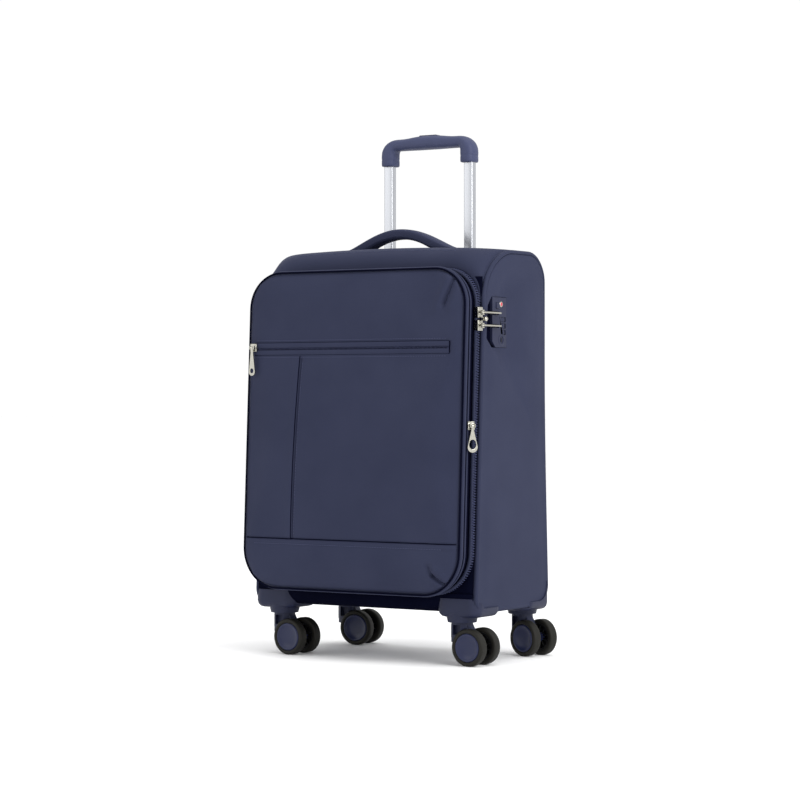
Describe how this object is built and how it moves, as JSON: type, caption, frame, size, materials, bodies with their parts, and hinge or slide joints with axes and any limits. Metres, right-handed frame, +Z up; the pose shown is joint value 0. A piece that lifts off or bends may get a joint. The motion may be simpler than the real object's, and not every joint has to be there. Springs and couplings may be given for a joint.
{
  "type": "softside upright suitcase",
  "caption": "Navy softside cabin suitcase with a padded zip lid, expansion zip, combination lock, telescopic handle, carry handles and double spinner wheels.",
  "frame": {"origin": "on the floor, under the middle of the suitcase", "axes": "+Z up, -Y out of the lid, +Y out of the back where the trolley handle stands, +X to the lock side"},
  "size_m": [0.3842, 0.2472, 0.7196],
  "materials": {
    "body_fabric": "smooth matt navy polyester, coated on the back, faint fine weave",
    "zipper_tape": "navy woven polyester zipper tape and nylon coil",
    "handle_fabric": "padded carry handle covered in the body's navy fabric",
    "moulded_plastic": "injection moulded navy plastic, fine matt texture",
    "grip_plastic": "soft-touch navy grip",
    "lock_plastic": "moulded navy lock plate with satin face",
    "hub_plastic": "smooth navy hub cap",
    "tyre_rubber": "near-black soft tread",
    "tube_aluminium": "satin anodised aluminium tube",
    "zipper_nickel": "polished nickel plated zinc",
    "axle_steel": "plain turned steel"
  },
  "bodies": {
    "body": {"body_wrap": "body_fabric", "side_panel_left": "body_fabric", "side_panel_right": "body_fabric", "top_handle": "handle_fabric", "side_handle": "handle_fabric", "outer_tube_left": "tube_aluminium", "outer_tube_right": "tube_aluminium", "trolley_bezel": "moulded_plastic", "trolley_foot": "moulded_plastic", "lock_housing": "lock_plastic", "main_slider_upper": "zipper_nickel", "main_slider_lower": "zipper_nickel", "corner_guard_front_left": "moulded_plastic", "corner_guard_front_right": "moulded_plastic", "corner_guard_rear_left": "moulded_plastic", "corner_guard_rear_right": "moulded_plastic"},
    "lid_frame": {"zipper_band": "zipper_tape"},
    "lid": {"lid_gusset": "body_fabric", "lid_panel": "body_fabric"},
    "expansion_slider": {"expansion_slider": "zipper_nickel"},
    "expansion_puller": {"expansion_puller": "zipper_nickel"},
    "pocket_slider": {"pocket_slider": "zipper_nickel"},
    "pocket_puller": {"pocket_puller": "zipper_nickel"},
    "main_puller_upper": {"main_puller_upper": "zipper_nickel"},
    "main_puller_lower": {"main_puller_lower": "zipper_nickel"},
    "trolley_middle": {"middle_tube_left": "tube_aluminium", "middle_tube_right": "tube_aluminium"},
    "trolley_inner": {"inner_tube_left": "tube_aluminium", "inner_tube_right": "tube_aluminium", "trolley_grip": "grip_plastic"},
    "grip_button": {"grip_button": "grip_plastic"},
    "lock_dial_1": {"lock_dial_1": "lock_plastic"},
    "lock_dial_2": {"lock_dial_2": "lock_plastic"},
    "lock_dial_3": {"lock_dial_3": "lock_plastic"},
    "key_cylinder": {"key_cylinder": "axle_steel"},
    "lock_button": {"lock_button": "lock_plastic"},
    "fork_front_left": {"fork_front_left": "moulded_plastic", "axle_front_left": "axle_steel"},
    "wheel_front_left_outer": {"tyre_front_left_outer": "tyre_rubber", "hub_front_left_outer": "hub_plastic"},
    "wheel_front_left_inner": {"tyre_front_left_inner": "tyre_rubber", "hub_front_left_inner": "hub_plastic"},
    "fork_front_right": {"fork_front_right": "moulded_plastic", "axle_front_right": "axle_steel"},
    "wheel_front_right_outer": {"tyre_front_right_outer": "tyre_rubber", "hub_front_right_outer": "hub_plastic"},
    "wheel_front_right_inner": {"tyre_front_right_inner": "tyre_rubber", "hub_front_right_inner": "hub_plastic"},
    "fork_rear_left": {"fork_rear_left": "moulded_plastic", "axle_rear_left": "axle_steel"},
    "wheel_rear_left_outer": {"tyre_rear_left_outer": "tyre_rubber", "hub_rear_left_outer": "hub_plastic"},
    "wheel_rear_left_inner": {"tyre_rear_left_inner": "tyre_rubber", "hub_rear_left_inner": "hub_plastic"},
    "fork_rear_right": {"fork_rear_right": "moulded_plastic", "axle_rear_right": "axle_steel"},
    "wheel_rear_right_outer": {"tyre_rear_right_outer": "tyre_rubber", "hub_rear_right_outer": "hub_plastic"},
    "wheel_rear_right_inner": {"tyre_rear_right_inner": "tyre_rubber", "hub_rear_right_inner": "hub_plastic"}
  },
  "joints": [
    {"name": "lid_hinge", "type": "hinge", "parent": "body", "child": "lid_frame", "pos_m": [-0.1785, -0.07048, 0.3], "axis": [0, -0.0467, -0.9989], "range_deg": [0, 180]},
    {"name": "lid_expansion", "type": "slide", "parent": "lid_frame", "child": "lid", "axis": [0, -1, 0], "range_m": [0, 0.028]},
    {"name": "expansion_zip", "type": "slide", "parent": "lid_frame", "child": "expansion_slider", "axis": [0, 0.0467, 0.9989], "range_m": [-0.15, 0.14]},
    {"name": "expansion_puller_swing", "type": "hinge", "parent": "expansion_slider", "child": "expansion_puller", "pos_m": [0.18033, -0.0954, 0.3145], "axis": [-0.5, -0.866, 0], "range_deg": [0, 150]},
    {"name": "pocket_zip", "type": "slide", "parent": "lid", "child": "pocket_slider", "axis": [1, 0, 0], "range_m": [0, 0.295]},
    {"name": "pocket_puller_swing", "type": "hinge", "parent": "pocket_slider", "child": "pocket_puller", "pos_m": [-0.157, -0.11623, 0.4185], "axis": [-1, 0, 0], "range_deg": [0, 150]},
    {"name": "main_puller_upper_swing", "type": "hinge", "parent": "body", "child": "main_puller_upper", "pos_m": [0.1814, -0.07152, 0.462], "axis": [0, 0, -1], "range_deg": [0, 105]},
    {"name": "main_puller_lower_swing", "type": "hinge", "parent": "body", "child": "main_puller_lower", "pos_m": [0.1814, -0.07152, 0.445], "axis": [0, 0, -1], "range_deg": [0, 105]},
    {"name": "trolley_lower_stage", "type": "slide", "parent": "body", "child": "trolley_middle", "axis": [0, 0, 1], "range_m": [0, 0.225]},
    {"name": "trolley_upper_stage", "type": "slide", "parent": "trolley_middle", "child": "trolley_inner", "axis": [0, 0, 1], "range_m": [-0.123, 0.102]},
    {"name": "grip_button_press", "type": "slide", "parent": "trolley_inner", "child": "grip_button", "axis": [0, 0, -1], "range_m": [0, 0.003], "stiffness_N_per_m": 400},
    {"name": "lock_button_press", "type": "slide", "parent": "body", "child": "lock_button", "axis": [-1, 0, 0], "range_m": [0, 0.0015], "stiffness_N_per_m": 600},
    {"name": "key_turn", "type": "hinge", "parent": "body", "child": "key_cylinder", "pos_m": [0.176, -0.01952, 0.427], "axis": [1, 0, 0], "range_deg": [0, 90]},
    {"name": "lock_dial_1_turn", "type": "hinge", "parent": "body", "child": "lock_dial_1", "pos_m": [0.1741, -0.01402, 0.437], "axis": [0, 0, 1], "continuous": true},
    {"name": "lock_dial_2_turn", "type": "hinge", "parent": "body", "child": "lock_dial_2", "pos_m": [0.1741, -0.01402, 0.4455], "axis": [0, 0, 1], "continuous": true},
    {"name": "lock_dial_3_turn", "type": "hinge", "parent": "body", "child": "lock_dial_3", "pos_m": [0.1741, -0.01402, 0.454], "axis": [0, 0, 1], "continuous": true},
    {"name": "swivel_front_left", "type": "hinge", "parent": "body", "child": "fork_front_left", "pos_m": [-0.143, -0.05952, 0.06], "axis": [0, 0, 1], "continuous": true},
    {"name": "roll_front_left_outer", "type": "hinge", "parent": "fork_front_left", "child": "wheel_front_left_outer", "pos_m": [-0.12196, -0.0763, 0.0245], "axis": [0.0593, 0.9982, 0], "continuous": true},
    {"name": "roll_front_left_inner", "type": "hinge", "parent": "fork_front_left", "child": "wheel_front_left_inner", "pos_m": [-0.12012, -0.04535, 0.0245], "axis": [0.0593, 0.9982, 0], "continuous": true},
    {"name": "swivel_front_right", "type": "hinge", "parent": "body", "child": "fork_front_right", "pos_m": [0.143, -0.05952, 0.06], "axis": [0, 0, 1], "continuous": true},
    {"name": "roll_front_right_outer", "type": "hinge", "parent": "fork_front_right", "child": "wheel_front_right_outer", "pos_m": [0.16404, -0.0763, 0.0245], "axis": [0.0593, 0.9982, 0], "continuous": true},
    {"name": "roll_front_right_inner", "type": "hinge", "parent": "fork_front_right", "child": "wheel_front_right_inner", "pos_m": [0.16588, -0.04535, 0.0245], "axis": [0.0593, 0.9982, 0], "continuous": true},
    {"name": "swivel_rear_left", "type": "hinge", "parent": "body", "child": "fork_rear_left", "pos_m": [-0.143, 0.09798, 0.06], "axis": [0, 0, 1], "continuous": true},
    {"name": "roll_rear_left_outer", "type": "hinge", "parent": "fork_rear_left", "child": "wheel_rear_left_outer", "pos_m": [-0.11978, 0.08438, 0.0245], "axis": [-0.0837, 0.9965, 0], "continuous": true},
    {"name": "roll_rear_left_inner", "type": "hinge", "parent": "fork_rear_left", "child": "wheel_rear_left_inner", "pos_m": [-0.12237, 0.11527, 0.0245], "axis": [-0.0837, 0.9965, 0], "continuous": true},
    {"name": "swivel_rear_right", "type": "hinge", "parent": "body", "child": "fork_rear_right", "pos_m": [0.143, 0.09798, 0.06], "axis": [0, 0, 1], "continuous": true},
    {"name": "roll_rear_right_outer", "type": "hinge", "parent": "fork_rear_right", "child": "wheel_rear_right_outer", "pos_m": [0.16002, 0.07713, 0.0245], "axis": [0.2689, 0.9632, 0], "continuous": true},
    {"name": "roll_rear_right_inner", "type": "hinge", "parent": "fork_rear_right", "child": "wheel_rear_right_inner", "pos_m": [0.16836, 0.10699, 0.0245], "axis": [0.2689, 0.9632, 0], "continuous": true}
  ]
}
